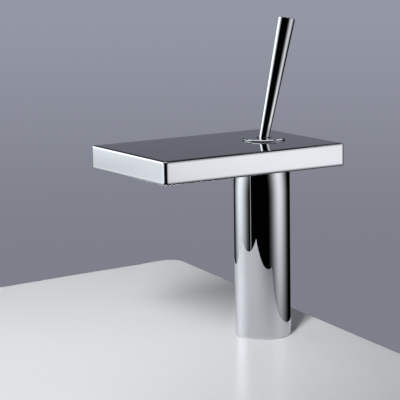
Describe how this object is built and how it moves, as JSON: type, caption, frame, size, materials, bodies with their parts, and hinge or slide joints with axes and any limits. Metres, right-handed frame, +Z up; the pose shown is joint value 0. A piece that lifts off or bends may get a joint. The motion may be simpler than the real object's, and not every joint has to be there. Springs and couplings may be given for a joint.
{
  "type": "waterfall basin faucet",
  "caption": "Deck-mounted basin faucet: flat rectangular waterfall spout on a round column, with a slim pin lever that opens the water and mixes hot with cold.",
  "frame": {"origin": "Centre of the column's foot, on the deck that the faucet stands on", "axes": "+Z up along the column, -Y towards the spout's front edge, +X to the right of a user who faces the spout from behind"},
  "size_m": [0.12, 0.175, 0.3293],
  "materials": {
    "chrome": "polished chrome plate on brass",
    "brass": "machined brass",
    "copper": "drawn copper tube",
    "steel": "plain stainless steel",
    "rubber": "black sealing rubber",
    "white_plastic": "moulded acetal",
    "grey_plastic": "moulded glass-filled plastic",
    "ceramic": "lapped alumina ceramic"
  },
  "bodies": {
    "root": {"spout_shell": "chrome", "spout_base": "chrome", "base_screws": "steel", "waterway": "grey_plastic", "waterway_gasket": "rubber", "waterway_screws": "steel", "flow_straightener": "white_plastic", "outlet_nipple": "brass", "nipple_orings": "rubber", "column_tube": "chrome", "foot_gasket": "rubber", "foot_block": "brass", "riser_hot": "copper", "riser_cold": "copper", "riser_orings": "rubber", "tie_bolts": "steel", "valve_head": "brass", "cartridge_housing": "white_plastic", "port_block": "white_plastic", "port_seals": "rubber", "fixed_disc": "ceramic", "cartridge_nut": "brass", "fixing_stud": "steel", "clamp_pad": "rubber", "clamp_washer": "steel", "clamp_nut": "brass"},
    "turret": {"mixing_guide": "grey_plastic", "pivot_pin": "steel"},
    "lever": {"lever_spindle": "steel", "handle_rod": "chrome"},
    "disc_stack": {"disc_carrier": "grey_plastic", "moving_disc": "ceramic"},
    "cover": {"cover_disc": "chrome", "disc_seal": "rubber"}
  },
  "joints": [
    {"name": "temperature_swivel", "type": "hinge", "parent": "root", "child": "turret", "pos_m": [0, 0, 0.1585], "axis": [0, 0, 1], "range_deg": [-45, 45]},
    {"name": "lever_tilt", "type": "hinge", "parent": "turret", "child": "lever", "pos_m": [0, 0, 0.1585], "axis": [-1, 0, 0], "range_deg": [-13.5, 9]},
    {"name": "disc_slide", "type": "slide", "parent": "turret", "child": "disc_stack", "axis": [0, 1, 0], "range_m": [-0.0016, 0.0024]},
    {"name": "cover_slide", "type": "slide", "parent": "turret", "child": "cover", "axis": [0, 1, 0], "range_m": [-0.0029, 0.002]}
  ],
  "couplings": [
    {"joint": "disc_slide", "follows": "lever_tilt", "m_per_rad": -0.009745},
    {"joint": "cover_slide", "follows": "lever_tilt", "m_per_rad": 0.01195}
  ]
}
